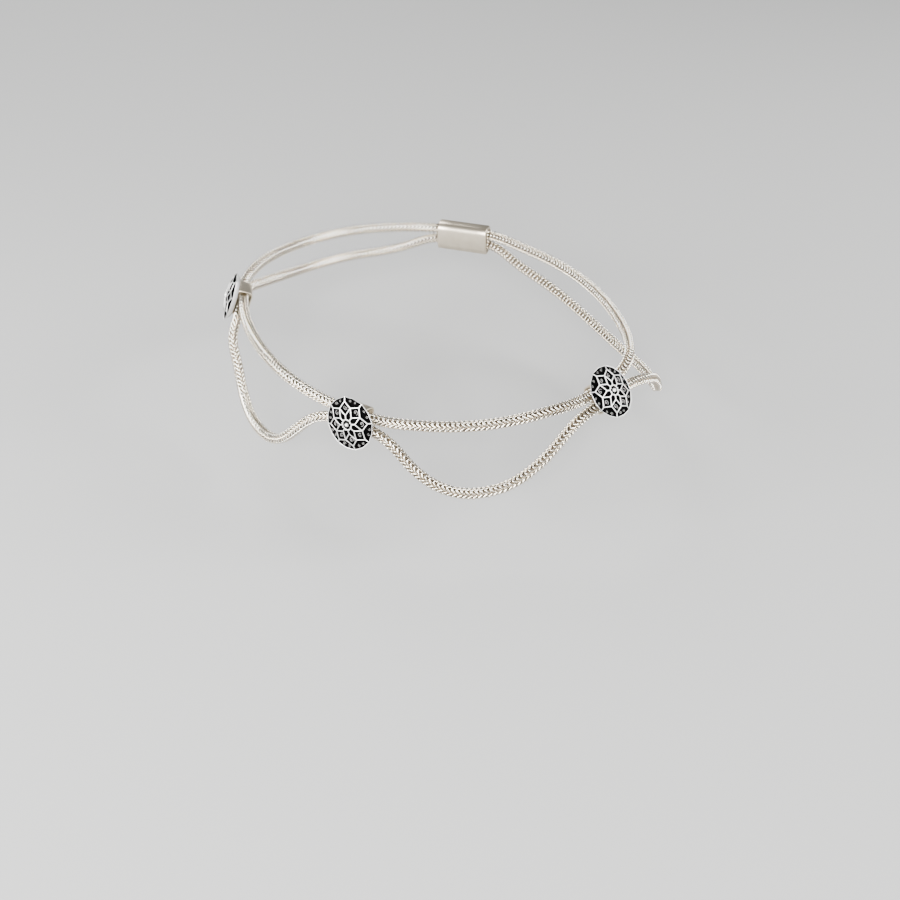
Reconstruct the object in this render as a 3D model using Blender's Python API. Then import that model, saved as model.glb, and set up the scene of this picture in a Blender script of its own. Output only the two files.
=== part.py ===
"""Anklet of two woven silver strands that run through three rosette sliders to a plain clasp.

Metres, +Z up the leg, -Y towards the toes. The origin is the centre of the upper strand's loop.
"""

import math

import bmesh
import bpy
import numpy as np
from mathutils import Matrix, Vector

# Loop of the upper strand round the ankle, an oval measured to the strand's centre line
LOOP_HALF_WIDTH = 0.0372
LOOP_HALF_LENGTH = 0.0435

# Woven strands
STRAND_DIAMETER = 0.0022
STRAND_SIDE_STEPS = 2
STRAND_STEP = 2.5 * STRAND_DIAMETER

# Gaps that keep touching pieces apart
SIDE_GAP = 0.0003
FACE_GAP = 0.0003

# Sleeve, a flat band bent to a loop that holds both strands
SLEEVE_LENGTH = 0.0048
SLEEVE_BAND = 0.00035
SLEEVE_CORNER = 0.0007
MOUTH_LEAD = 0.0006

# Rosette
ROSETTE_RADIUS = 0.00525
ROSETTE_PETALS = 8
ROSETTE_WALL = 0.0009
ROSETTE_DOME = 0.00095
ROSETTE_WIRE = 0.00038
ROSETTE_RECESS = 0.0004
RECESS_SLOPE = 0.00008
WALL_TAPER = 0.0009
SOLDER_DEPTH = 0.0002
BOSS_RADIUS = 0.0010
BOSS_HEIGHT = 0.00045
PETAL_INNER_SHARE = 0.34
PETAL_SIDE_SHARE = 0.63
RIM_SCALLOP_SHARE = 0.985

# Clasp, plain, as the ankle hides it
CLASP_LENGTH = 0.0120
CLASP_WALL = 0.0007
CLASP_CORNER = 0.0009
SOCKET_DEPTH = 0.0025

# Where each piece sits: turn round the ankle in degrees, height, stand-off from the oval
STATIONS = {
    "left": (141.0, 0.0015, 0.0017),
    "centre": (209.0, -0.0020, 0.0),
    "right": (285.2, -0.0017, 0.0),
    "clasp": (400.0, 0.0, 0.0),
}

# How each piece is turned, in degrees: tip of its face upwards, swing about the upright, turn of its pattern
FACINGS = {
    "left": (22.0, 7.5, 20.0),
    "centre": (10.7, -4.4, 18.2),
    "right": (41.3, -5.6, 23.0),
    "clasp": (0.0, 0.0, 0.0),
}

# Chosen points of each strand between its stations: turn in degrees, height and stand-off in metres
UPPER_ROUTE = {
    ("clasp", "left"): (
        (62.0, 0.0016, 0.0000), (85.0, 0.0020, 0.0002), (108.0, 0.0027, 0.0006), (126.0, 0.0034, 0.0012),
    ),
    ("left", "centre"): (
        (149.5, 0.0020, 0.0008), (155.5, 0.0010, 0.0004), (163.0, 0.0006, 0.0000),
        (175.7, 0.0006, 0.0000), (187.0, 0.0001, 0.0000),
    ),
    ("centre", "right"): (
        (224.5, -0.0006, 0.0), (232.5, -0.0003, 0.0), (248.6, 0.0003, 0.0), (266.5, 0.0006, 0.0),
    ),
    ("right", "clasp"): (
        (300.0, 0.0004, 0.0008), (308.0, 0.0005, 0.0006), (326.0, 0.0002, -0.0007), (345.0, 0.0001, -0.0009),
        (365.0, 0.0004, -0.0006), (382.0, 0.0010, -0.0002),
    ),
}
LOWER_ROUTE = {
    ("clasp", "left"): (
        (60.0, -0.0034, 0.0004), (80.0, -0.0048, 0.0007), (102.0, -0.0044, 0.0010), (122.0, -0.0015, 0.0013),
    ),
    ("left", "centre"): (
        (151.0, -0.0030, 0.0036), (156.0, -0.0066, 0.0036), (162.0, -0.0108, 0.0036),
        (170.0, -0.0136, 0.0039), (180.0, -0.0141, 0.0037), (186.5, -0.0118, 0.0032),
        (190.5, -0.0087, 0.0023), (194.0, -0.0059, 0.0014), (197.2, -0.0042, 0.0007),
    ),
    ("centre", "right"): (
        (218.1, -0.0045, 0.0010), (221.2, -0.0060, 0.0016), (224.0, -0.0078, 0.0022),
        (229.9, -0.0107, 0.0032), (236.8, -0.0124, 0.0037), (244.4, -0.0123, 0.0037),
        (250.0, -0.0114, 0.0034), (255.6, -0.0096, 0.0029), (262.7, -0.0066, 0.0021),
        (270.0, -0.0037, 0.0012),
    ),
    ("right", "clasp"): (
        (299.0, -0.0034, 0.0024), (304.5, -0.0044, 0.0044), (309.5, -0.0065, 0.0060),
        (314.5, -0.0108, 0.0072), (325.0, -0.0132, 0.0066), (340.0, -0.0138, 0.0050),
        (355.0, -0.0114, 0.0031), (370.0, -0.0074, 0.0015), (383.0, -0.0036, 0.0005),
    ),
}

# Sizes that follow from the ones above
STRAND_SPACING = STRAND_DIAMETER + SIDE_GAP
CHANNEL_HEIGHT = 2.0 * STRAND_DIAMETER + 3.0 * SIDE_GAP
CHANNEL_DEPTH = STRAND_DIAMETER + 2.0 * FACE_GAP
SLEEVE_FACE = CHANNEL_DEPTH / 2.0 + SLEEVE_BAND
STRAND_SIDES = {"upper": 0.5, "lower": -0.5}


def clear_scene():
    """Removes every object of the opened file."""
    for thing in list(bpy.data.objects):
        bpy.data.objects.remove(thing, do_unlink=True)


def silver(name, colour, roughness):
    """Returns a metal material of one colour and roughness."""
    finish = bpy.data.materials.new(name)
    finish.use_nodes = True
    shader = finish.node_tree.nodes["Principled BSDF"]
    shader.inputs["Base Color"].default_value = (*colour, 1.0)
    shader.inputs["Metallic"].default_value = 1.0
    shader.inputs["Roughness"].default_value = roughness
    return finish


def add_object(name, mesh, finish):
    """Puts a mesh in the scene as a named object with one material."""
    thing = bpy.data.objects.new(name, mesh)
    bpy.context.collection.objects.link(thing)
    thing.data.materials.append(finish)
    return thing


def hide_helper(thing):
    """Marks an object as a helper that only cuts or joins."""
    thing.hide_render = True
    thing.display_type = "WIRE"
    return thing


def outward(turn):
    """Returns the level direction that points away from the ankle at a turn."""
    angle = math.radians(turn)
    return Vector((math.cos(angle) / LOOP_HALF_WIDTH, math.sin(angle) / LOOP_HALF_LENGTH, 0.0)).normalized()


def ankle_point(turn, height, stand_off):
    """Returns the point at a turn, height and stand-off from the oval."""
    angle = math.radians(turn)
    on_oval = Vector((LOOP_HALF_WIDTH * math.cos(angle), LOOP_HALF_LENGTH * math.sin(angle), height))
    return on_oval + outward(turn) * stand_off


def station_frame(name):
    """Returns a station's matrix: X along the strands, Y up its face, Z out of its face."""
    turn, height, stand_off = STATIONS[name]
    tip, swing, _ = FACINGS[name]
    level = Matrix.Rotation(math.radians(swing), 3, "Z") @ outward(turn)
    along = Vector((-level.y, level.x, 0.0))
    face = level * math.cos(math.radians(tip)) + Vector((0.0, 0.0, math.sin(math.radians(tip))))
    rise = face.cross(along)
    frame = Matrix((along, rise, face)).transposed().to_4x4()
    frame.translation = ankle_point(turn, height, stand_off)
    return frame


def seat_points(name, side, reaches):
    """Returns a strand's points at a station, at the given distances along it."""
    frame = station_frame(name)
    return [frame @ Vector((reach, side * STRAND_SPACING, 0.0)) for reach in reaches]


def strand_points(route, side):
    """Returns the points that a strand follows from one end in the clasp to the other."""
    end = CLASP_LENGTH / 2.0 - SOCKET_DEPTH + SIDE_GAP
    mouth = CLASP_LENGTH / 2.0 + MOUTH_LEAD
    half = SLEEVE_LENGTH / 2.0 + MOUTH_LEAD
    points = seat_points("clasp", side, (end, mouth))
    for (_, to_station), rows in route.items():
        points += [ankle_point(*row) for row in rows]
        if to_station != "clasp":
            points += seat_points(to_station, side, (-half, -half / 2.0, half / 2.0, half))
    return points + seat_points("clasp", side, (-mouth, -end))


def smooth_path(points, step):
    """Returns points on a natural cubic curve through the given ones, no further apart than a step."""
    knots = np.array([tuple(point) for point in points])
    chords = np.linalg.norm(np.diff(knots, axis=0), axis=1)
    system = np.eye(len(knots))
    target = np.zeros((len(knots), 3))
    for i in range(1, len(knots) - 1):
        system[i, i - 1:i + 2] = chords[i - 1], 2.0 * (chords[i - 1] + chords[i]), chords[i]
        target[i] = 6.0 * ((knots[i + 1] - knots[i]) / chords[i] - (knots[i] - knots[i - 1]) / chords[i - 1])
    bends = np.linalg.solve(system, target)
    path = [knots[0]]
    for i, chord in enumerate(chords):
        pieces = max(1, math.ceil(chord / step))
        for share in np.arange(1, pieces + 1) / pieces:
            rest = 1.0 - share
            curve = (rest ** 3 - rest) * bends[i] + (share ** 3 - share) * bends[i + 1]
            path.append(rest * knots[i] + share * knots[i + 1] + curve * chord ** 2 / 6.0)
    return path


def make_strand(name, route, side, finish):
    """Makes one strand as a round tube with filled ends."""
    path = smooth_path(strand_points(route, side), STRAND_STEP)
    curve = bpy.data.curves.new(name, "CURVE")
    curve.dimensions = "3D"
    curve.bevel_depth = STRAND_DIAMETER / 2.0
    curve.bevel_resolution = STRAND_SIDE_STEPS
    curve.use_fill_caps = True
    spline = curve.splines.new("POLY")
    spline.points.add(len(path) - 1)
    for point, place in zip(spline.points, path):
        point.co = (*place, 1.0)
    return add_object(name, curve, finish)


def rounded_rectangle(width, height, corner, steps=3):
    """Returns the points of a rounded rectangle about its centre, anticlockwise."""
    points = []
    for quarter, (along, up) in enumerate(((1, 1), (-1, 1), (-1, -1), (1, -1))):
        centre = (along * (width / 2.0 - corner), up * (height / 2.0 - corner))
        for step in range(steps + 1):
            angle = math.radians(90.0 * (quarter + step / steps))
            points.append((centre[0] + corner * math.cos(angle), centre[1] + corner * math.sin(angle)))
    return points


def add_loop(body, profile, reach):
    """Adds a profile's points across the strands' direction at a distance along it."""
    return [body.verts.new((reach, up, out)) for up, out in profile]


def bridge(body, first, second):
    """Joins two loops of as many points with a band of faces."""
    for i, vertex in enumerate(first):
        after = (i + 1) % len(first)
        body.faces.new((vertex, first[after], second[after], second[i]))


def finish_mesh(body, name, sharp=30.0):
    """Turns a bmesh into a mesh with outward faces and sharp edges kept."""
    bmesh.ops.recalc_face_normals(body, faces=body.faces)
    bmesh.ops.triangulate(body, faces=body.faces)
    mesh = bpy.data.meshes.new(name)
    body.to_mesh(mesh)
    body.free()
    mesh.shade_smooth()
    mesh.set_sharp_from_angle(angle=math.radians(sharp))
    return mesh


def sleeve_mesh(name):
    """Returns the band that both strands pass through, open at both ends."""
    body = bmesh.new()
    inner = rounded_rectangle(CHANNEL_HEIGHT, CHANNEL_DEPTH, SLEEVE_CORNER)
    band_height = CHANNEL_HEIGHT + 2.0 * SLEEVE_BAND
    outer = rounded_rectangle(band_height, 2.0 * SLEEVE_FACE, SLEEVE_CORNER + SLEEVE_BAND)
    ends = []
    for reach in (-SLEEVE_LENGTH / 2.0, SLEEVE_LENGTH / 2.0):
        ends.append([add_loop(body, loop, reach) for loop in (outer, inner)])
    for outer_loop, inner_loop in ends:
        bridge(body, outer_loop, inner_loop)
    bridge(body, ends[0][0], ends[1][0])
    bridge(body, ends[0][1], ends[1][1])
    return finish_mesh(body, name)


def rosette_point(radius, turn):
    """Returns a point on the rosette's domed face."""
    angle = math.radians(turn)
    rise = ROSETTE_DOME * (1.0 - (radius / ROSETTE_RADIUS) ** 2)
    height = SLEEVE_FACE - SOLDER_DEPTH + ROSETTE_WALL + rise
    return Vector((radius * math.cos(angle), radius * math.sin(angle), height))


def face_ring(body, radius, count, start):
    """Adds a ring of points on the rosette's face."""
    return [body.verts.new(rosette_point(radius, start + 360.0 * i / count)) for i in range(count)]


def rosette_mesh(name):
    """Returns a domed disc with raised wires round sunk cells, a boss, and a wall that narrows to its back."""
    body = bmesh.new()
    count = ROSETTE_PETALS
    half_turn = 180.0 / count
    boss = face_ring(body, BOSS_RADIUS, 2 * count, 0.0)
    inner = face_ring(body, PETAL_INNER_SHARE * ROSETTE_RADIUS, count, 0.0)
    side = face_ring(body, PETAL_SIDE_SHARE * ROSETTE_RADIUS, count, half_turn)
    outer = face_ring(body, ROSETTE_RADIUS, count, 0.0)
    scallop = face_ring(body, RIM_SCALLOP_SHARE * ROSETTE_RADIUS, count, half_turn)
    cells = []
    for i in range(count):
        after = (i + 1) % count
        low, middle, high = boss[2 * i], boss[2 * i + 1], boss[(2 * i + 2) % (2 * count)]
        cells.append(body.faces.new((inner[i], low, middle, high, inner[after], side[i])))
        cells.append(body.faces.new((inner[i], side[i], outer[i], side[i - 1])))
        cells.append(body.faces.new((side[i], outer[after], scallop[i], outer[i])))
    crown = body.faces.new(boss)
    bmesh.ops.recalc_face_normals(body, faces=body.faces)
    if crown.normal.z < 0.0:
        bmesh.ops.reverse_faces(body, faces=body.faces)
    bmesh.ops.inset_individual(body, faces=cells, thickness=ROSETTE_WIRE / 2.0, use_even_offset=True)
    bmesh.ops.inset_individual(body, faces=cells, thickness=RECESS_SLOPE, depth=-ROSETTE_RECESS)
    bmesh.ops.inset_individual(body, faces=[crown], thickness=BOSS_RADIUS / 5.0, depth=BOSS_HEIGHT * 0.8)
    bmesh.ops.inset_individual(body, faces=[crown], thickness=BOSS_RADIUS / 3.0, depth=BOSS_HEIGHT * 0.2)
    edge = [line for line in body.edges if line.is_boundary]
    skirt = bmesh.ops.extrude_edge_only(body, edges=edge)["geom"]
    base = SLEEVE_FACE - SOLDER_DEPTH
    for vertex in (part for part in skirt if isinstance(part, bmesh.types.BMVert)):
        share = (ROSETTE_RADIUS - WALL_TAPER) / math.hypot(vertex.co.x, vertex.co.y)
        vertex.co = Vector((vertex.co.x * share, vertex.co.y * share, base))
    lower_edge = [part for part in skirt if isinstance(part, bmesh.types.BMEdge)]
    bmesh.ops.edgeloop_fill(body, edges=lower_edge)
    return finish_mesh(body, name)


def make_slider(name, station, finish):
    """Makes a rosette soldered to the band that holds both strands."""
    slider = add_object(name, rosette_mesh(name), finish)
    band = hide_helper(add_object(name + "_band", sleeve_mesh(name + "_band"), finish))
    pattern = FACINGS[station][2]
    band.matrix_world = station_frame(station)
    slider.matrix_world = band.matrix_world @ Matrix.Rotation(math.radians(pattern), 4, "Z")
    solder = slider.modifiers.new("solder", "BOOLEAN")
    solder.operation = "UNION"
    solder.solver = "EXACT"
    solder.object = band
    return slider


def rounded_prism(body, height, depth, corner, start, end):
    """Adds a closed rounded bar that runs along the strands from start to end."""
    profile = rounded_rectangle(height, depth, corner)
    loops = [add_loop(body, profile, reach) for reach in (start, end)]
    bridge(body, *loops)
    for loop in loops:
        body.faces.new(loop)


def clasp_blank(name):
    """Returns the clasp's plain rounded body before its sockets are cut."""
    body = bmesh.new()
    height = CHANNEL_HEIGHT + 2.0 * CLASP_WALL
    depth = CHANNEL_DEPTH + 2.0 * CLASP_WALL
    rounded_prism(body, height, depth, CLASP_CORNER + CLASP_WALL, -CLASP_LENGTH / 2.0, CLASP_LENGTH / 2.0)
    return finish_mesh(body, name)


def socket_cutter(name):
    """Returns the two blind sockets, one at each end of the clasp."""
    body = bmesh.new()
    for end in (-1.0, 1.0):
        floor = end * (CLASP_LENGTH / 2.0 - SOCKET_DEPTH)
        rounded_prism(body, CHANNEL_HEIGHT, CHANNEL_DEPTH, CLASP_CORNER, floor, end * CLASP_LENGTH)
    return finish_mesh(body, name)


def make_clasp(name, finish):
    """Makes the plain clasp, whose two blind sockets take the strands' ends."""
    clasp = add_object(name, clasp_blank(name), finish)
    cutter = hide_helper(add_object(name + "_sockets", socket_cutter(name + "_sockets"), finish))
    for thing in (clasp, cutter):
        thing.matrix_world = station_frame("clasp")
    sockets = clasp.modifiers.new("sockets", "BOOLEAN")
    sockets.operation = "DIFFERENCE"
    sockets.solver = "EXACT"
    sockets.object = cutter
    return clasp


def main():
    """Builds every piece of the anklet."""
    clear_scene()
    woven = silver("woven_silver", (0.80, 0.77, 0.72), 0.30)
    blackened = silver("blackened_silver", (0.42, 0.41, 0.40), 0.35)
    plain = silver("plain_silver", (0.85, 0.83, 0.80), 0.22)
    make_strand("upper_strand", UPPER_ROUTE, STRAND_SIDES["upper"], woven)
    make_strand("lower_strand", LOWER_ROUTE, STRAND_SIDES["lower"], woven)
    for station in ("left", "centre", "right"):
        make_slider(station + "_slider", station, blackened)
    make_clasp("clasp", plain)


main()
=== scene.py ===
"""Looks of the anklet: two woven silver strands, three rosette sliders and a plain clasp."""

import logging
import math
from dataclasses import dataclass, field
from enum import Enum
from typing import Callable, Sequence

import bmesh
import bpy
import numpy as np
from mathutils import Matrix, Vector


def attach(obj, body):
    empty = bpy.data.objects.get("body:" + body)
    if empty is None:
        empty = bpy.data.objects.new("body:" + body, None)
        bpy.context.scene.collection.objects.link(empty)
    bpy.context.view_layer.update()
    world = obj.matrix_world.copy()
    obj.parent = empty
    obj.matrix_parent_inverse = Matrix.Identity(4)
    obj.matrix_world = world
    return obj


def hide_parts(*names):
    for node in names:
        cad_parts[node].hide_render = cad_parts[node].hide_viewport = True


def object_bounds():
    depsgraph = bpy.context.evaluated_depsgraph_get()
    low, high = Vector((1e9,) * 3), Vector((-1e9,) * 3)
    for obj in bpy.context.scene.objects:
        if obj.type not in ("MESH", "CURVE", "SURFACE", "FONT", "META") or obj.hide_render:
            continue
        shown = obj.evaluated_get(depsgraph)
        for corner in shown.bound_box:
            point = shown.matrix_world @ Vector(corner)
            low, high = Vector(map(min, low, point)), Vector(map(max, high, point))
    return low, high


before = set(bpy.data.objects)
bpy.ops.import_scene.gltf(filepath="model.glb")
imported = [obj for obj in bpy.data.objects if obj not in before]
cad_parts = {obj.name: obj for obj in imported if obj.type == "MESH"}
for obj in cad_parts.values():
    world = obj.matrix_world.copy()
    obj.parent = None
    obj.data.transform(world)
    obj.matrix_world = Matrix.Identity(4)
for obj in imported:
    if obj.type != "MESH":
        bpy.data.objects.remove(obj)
CAD_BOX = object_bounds()
LOG = logging.getLogger("anklet")
BODY = "root"
MM = 0.001
UP = Vector((0.0, 0.0, 1.0))

# Angles in degrees from which an edge stays sharp
SHARP_FACE = 35.0
SHARP_BAND = 50.0
SHARP_WIRE = 80.0

# Angle in degrees from a square strand's corner to the middle of its flat side
HALF_CORNER = 45.0

# Steps for each metre to which points are rounded to find those that meet
MATCH_STEPS = 1e7

# Share of a softened edge that its middle row takes in
EDGE_MIDDLE = 0.3

Point = tuple[float, float, float]
Colour = tuple[float, float, float]


class Run(Enum):
    """The two strands, with the side of the sleeve that each lies on."""

    UPPER = 0.5
    LOWER = -0.5


class Place(Enum):
    """Where the sliders and the clasp sit round the ankle."""

    LEFT = "left"
    CENTRE = "centre"
    RIGHT = "right"
    CLASP = "clasp"


class Slot(Enum):
    """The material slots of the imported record."""

    WOVEN = "woven_silver"
    BLACKENED = "blackened_silver"
    PLAIN = "plain_silver"


@dataclass(frozen=True)
class Seat:
    """A place on the ankle in metres and degrees.

    The face is tipped upwards and swung about the upright, and its pattern is turned.
    """

    turn: float
    height: float
    stand_off: float
    tip: float
    swing: float
    pattern: float


SEATS = {
    Place.LEFT: Seat(141.0, 0.0015, 0.0017, 22.0, 7.5, 20.0),
    Place.CENTRE: Seat(209.0, -0.0020, 0.0, 10.7, -4.4, 18.2),
    Place.RIGHT: Seat(285.2, -0.0017, 0.0, 41.3, -5.6, 23.0),
    Place.CLASP: Seat(400.0, 0.0, 0.0, 0.0, 0.0, 0.0),
}

# Chosen points of each strand up to the next seat: turn in degrees, height and stand-off in metres
ROUTES: dict[Run, dict[Place, tuple[Point, ...]]] = {
    Run.UPPER: {
        Place.LEFT: (
            (62.0, 0.0016, 0.0000), (85.0, 0.0020, 0.0002),
            (108.0, 0.0027, 0.0006), (126.0, 0.0034, 0.0012),
        ),
        Place.CENTRE: (
            (149.5, 0.0020, 0.0008), (155.5, 0.0010, 0.0004), (163.0, 0.0006, 0.0000),
            (175.7, 0.0006, 0.0000), (187.0, 0.0001, 0.0000),
        ),
        Place.RIGHT: (
            (224.5, -0.0006, 0.0), (232.5, -0.0003, 0.0), (248.6, 0.0003, 0.0), (266.5, 0.0006, 0.0),
        ),
        Place.CLASP: (
            (300.0, 0.0004, 0.0008), (308.0, 0.0005, 0.0006), (326.0, 0.0002, -0.0007),
            (345.0, 0.0001, -0.0009), (365.0, 0.0004, -0.0006), (382.0, 0.0010, -0.0002),
        ),
    },
    Run.LOWER: {
        Place.LEFT: (
            (60.0, -0.0034, 0.0004), (80.0, -0.0048, 0.0007),
            (102.0, -0.0044, 0.0010), (122.0, -0.0015, 0.0013),
        ),
        Place.CENTRE: (
            (151.0, -0.0030, 0.0036), (156.0, -0.0066, 0.0036), (162.0, -0.0108, 0.0036),
            (170.0, -0.0136, 0.0039), (180.0, -0.0141, 0.0037), (186.5, -0.0118, 0.0032),
            (190.5, -0.0087, 0.0023), (194.0, -0.0059, 0.0014), (197.2, -0.0042, 0.0007),
        ),
        Place.RIGHT: (
            (218.1, -0.0045, 0.0010), (221.2, -0.0060, 0.0016), (224.0, -0.0078, 0.0022),
            (229.9, -0.0107, 0.0032), (236.8, -0.0124, 0.0037), (244.4, -0.0123, 0.0037),
            (250.0, -0.0114, 0.0034), (255.6, -0.0096, 0.0029), (262.7, -0.0066, 0.0021),
            (270.0, -0.0037, 0.0012),
        ),
        Place.CLASP: (
            (299.0, -0.0034, 0.0024), (304.5, -0.0044, 0.0044), (309.5, -0.0065, 0.0060),
            (314.5, -0.0108, 0.0072), (325.0, -0.0132, 0.0066), (340.0, -0.0138, 0.0050),
            (355.0, -0.0114, 0.0031), (370.0, -0.0074, 0.0015), (383.0, -0.0036, 0.0005),
        ),
    },
}


class Graph:
    """A node tree that is built with short calls."""

    def __init__(self, tree: bpy.types.NodeTree) -> None:
        """Keeps the tree that the calls fill."""
        self.tree = tree

    def add(self, kind: str, **settings: object) -> bpy.types.Node:
        """Adds a node.

        Args:
            kind: the node's type name.
            settings: properties of the node itself.

        Returns:
            The new node.
        """
        node = self.tree.nodes.new(kind)
        for name, value in settings.items():
            setattr(node, name, value)
        return node

    def link(self, source: bpy.types.NodeSocket, target: bpy.types.NodeSocket) -> None:
        """Joins two sockets."""
        self.tree.links.new(source, target)

    def maths(
        self, operation: str, first: object, second: object, clamp: bool = False,
    ) -> bpy.types.NodeSocket:
        """Adds a Math node in a shader tree or a geometry tree.

        Args:
            operation: the sum that it does.
            first: a socket or a number.
            second: a socket or a number.
            clamp: whether the result stays between 0 and 1.

        Returns:
            The result's socket.
        """
        node = self.add("ShaderNodeMath", operation=operation, use_clamp=clamp)
        for socket, value in zip(node.inputs, (first, second)):
            if isinstance(value, bpy.types.NodeSocket):
                self.link(value, socket)
            else:
                socket.default_value = value
        return node.outputs[0]


@dataclass(frozen=True)
class SilverFinish:
    """Silver whose low places are dark, with a fine hammered grain and cloudy wear. The dark low colour is
    painted shade on the woven wire, the strand core and the band; on the rosettes it is mostly real black
    patina in the cells and crevices, with painted shade low on the wall and on the back.
    """

    name: str
    bright: Colour
    patina_and_shade: Colour
    roughness: float = 0.24
    roughness_spread: float = 0.16
    cloud_scale: float = 420.0
    cloud_share: float = 0.35
    grain_scale: float = 5200.0
    grain_depth: float = 0.012 * MM
    dark_from: float = 0.15
    dark_to: float = 0.75
    black_patina: bool = False
    cloud_detail: float = 3.0
    grain_detail: float = 2.0
    patina_specular: float = 0.01
    patina_dullness: float = 0.35

    def material(self) -> bpy.types.Material:
        """Gives the finish, which is built on its first use.

        Returns:
            A material that reads the mesh's "raise" attribute, 0 in the depths and 1 on top.
        """
        return bpy.data.materials.get(self.name) or self._build()

    def _build(self) -> bpy.types.Material:
        """Builds the finish's nodes.

        Returns:
            The new material.
        """
        result = bpy.data.materials.new(self.name)
        result.use_nodes = True
        graph = Graph(result.node_tree)
        shader = result.node_tree.nodes["Principled BSDF"]
        shader.inputs["Metallic"].default_value = 1.0
        place = graph.add("ShaderNodeTexCoord").outputs["Object"]
        cloud = self._noise(graph, place, self.cloud_scale, self.cloud_detail)
        grain = self._noise(graph, place, self.grain_scale, self.grain_detail)
        height = graph.add("ShaderNodeAttribute", attribute_name="raise").outputs["Fac"]
        reach = graph.add("ShaderNodeMapRange", interpolation_type="SMOOTHSTEP")
        reach.inputs["From Min"].default_value = self.dark_from
        reach.inputs["From Max"].default_value = self.dark_to
        graph.link(height, reach.inputs["Value"])
        worn = graph.maths("MULTIPLY", cloud, self.cloud_share)
        kept = graph.maths("SUBTRACT", 1.0, worn)
        share = graph.maths("MULTIPLY", reach.outputs["Result"], kept, clamp=True)
        mix = graph.add("ShaderNodeMix", data_type="RGBA")
        # The low colour: painted shade on some finishes, real black patina on others.
        mix.inputs["A"].default_value = (*self.patina_and_shade, 1.0)
        mix.inputs["B"].default_value = (*self.bright, 1.0)
        graph.link(share, mix.inputs["Factor"])
        graph.link(mix.outputs["Result"], shader.inputs["Base Color"])
        spread = graph.maths("MULTIPLY", cloud, self.roughness_spread)
        roughness = graph.maths("ADD", spread, self.roughness)
        if self.black_patina:
            shader.inputs["Specular IOR Level"].default_value = self.patina_specular
            graph.link(share, shader.inputs["Metallic"])
            dull = graph.maths("MULTIPLY", graph.maths("SUBTRACT", 1.0, share), self.patina_dullness)
            roughness = graph.maths("ADD", roughness, dull)
        graph.link(roughness, shader.inputs["Roughness"])
        bump = graph.add("ShaderNodeBump")
        bump.inputs["Distance"].default_value = self.grain_depth
        graph.link(grain, bump.inputs["Height"])
        graph.link(bump.outputs["Normal"], shader.inputs["Normal"])
        return result

    @staticmethod
    def _noise(
        graph: Graph, place: bpy.types.NodeSocket, scale: float, detail: float,
    ) -> bpy.types.NodeSocket:
        """Adds a noise texture.

        Args:
            graph: the finish's tree.
            place: the socket with the place that is shaded.
            scale: how fine the noise is, for each metre.
            detail: its octaves.

        Returns:
            The socket of the noise's value.
        """
        noise = graph.add("ShaderNodeTexNoise")
        noise.inputs["Scale"].default_value = scale
        noise.inputs["Detail"].default_value = detail
        graph.link(place, noise.inputs["Vector"])
        return noise.outputs["Fac"]


# The woven wire's low colour is painted shade in the grooves between the wires.
WOVEN = SilverFinish("woven_wire", (0.97, 0.92, 0.82), (0.36, 0.29, 0.19), roughness=0.15, cloud_share=0.20)
# The strand core's dark colours are painted shade for the inside of the weave.
PAINTED_SHADE_CORE = SilverFinish("strand_core", (0.14, 0.11, 0.075), (0.07, 0.055, 0.04), roughness=0.42)
WIRES = SilverFinish("rosette_wires", (0.98, 0.97, 0.95), (0.0008, 0.0008, 0.0008), roughness=0.28,
                     cloud_share=0.06, dark_from=0.70, dark_to=0.96, black_patina=True)
CURLS = SilverFinish("rosette_curls", (0.44, 0.43, 0.42), (0.0008, 0.0008, 0.0008), roughness=0.30,
                     cloud_share=0.30, dark_from=0.30, dark_to=1.0, black_patina=True)
# The band's silver is painted darker and warmer, and its low colour browner, as shade behind the rosettes.
BAND = SilverFinish("plain_band", (0.70, 0.63, 0.51), (0.26, 0.20, 0.13), roughness=0.26, cloud_share=0.45)


def mark_raise(mesh: bpy.types.Mesh, rule: Callable[[Vector], float]) -> None:
    """Writes how high each point lies, for the finish.

    Args:
        mesh: the mesh in its own frame.
        rule: gives 0 in the depths and 1 on top for a point.
    """
    values = [min(max(rule(vertex.co), 0.0), 1.0) for vertex in mesh.vertices]
    layer = mesh.attributes.new("raise", "FLOAT", "POINT")
    layer.data.foreach_set("value", values)


def dress(piece: bpy.types.Object, replaced: Sequence[str] = ()) -> None:
    """Hangs a finished piece on the frame.

    Args:
        piece: an object at the origin whose place is in its mesh.
        replaced: the CAD nodes that it stands for.
    """
    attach(piece, BODY)
    if replaced:
        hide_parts(*replaced)
    LOG.info("%s: %d faces", piece.name, len(piece.data.polygons))


def add_piece(
    name: str, mesh: bpy.types.Mesh, finish: bpy.types.Material | None = None,
) -> bpy.types.Object:
    """Adds a mesh to the scene as an object at the origin.

    Args:
        name: the object's name.
        mesh: its mesh.
        finish: the mesh's only material, if it gets one here.

    Returns:
        The object.
    """
    piece = bpy.data.objects.new(name, mesh)
    bpy.context.collection.objects.link(piece)
    if finish is not None:
        mesh.materials.clear()
        mesh.materials.append(finish)
    return piece


def mesh_of(body: bmesh.types.BMesh, name: str, sharp: float = SHARP_WIRE) -> bpy.types.Mesh:
    """Turns a bmesh into a smooth mesh whose faces point outwards.

    Args:
        body: the bmesh, which is freed.
        name: the mesh's name.
        sharp: the angle in degrees from which an edge stays sharp.

    Returns:
        The mesh.
    """
    bmesh.ops.recalc_face_normals(body, faces=body.faces)
    mesh = bpy.data.meshes.new(name)
    body.to_mesh(mesh)
    body.free()
    mesh.shade_smooth()
    mesh.set_sharp_from_angle(angle=math.radians(sharp))
    return mesh


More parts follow.
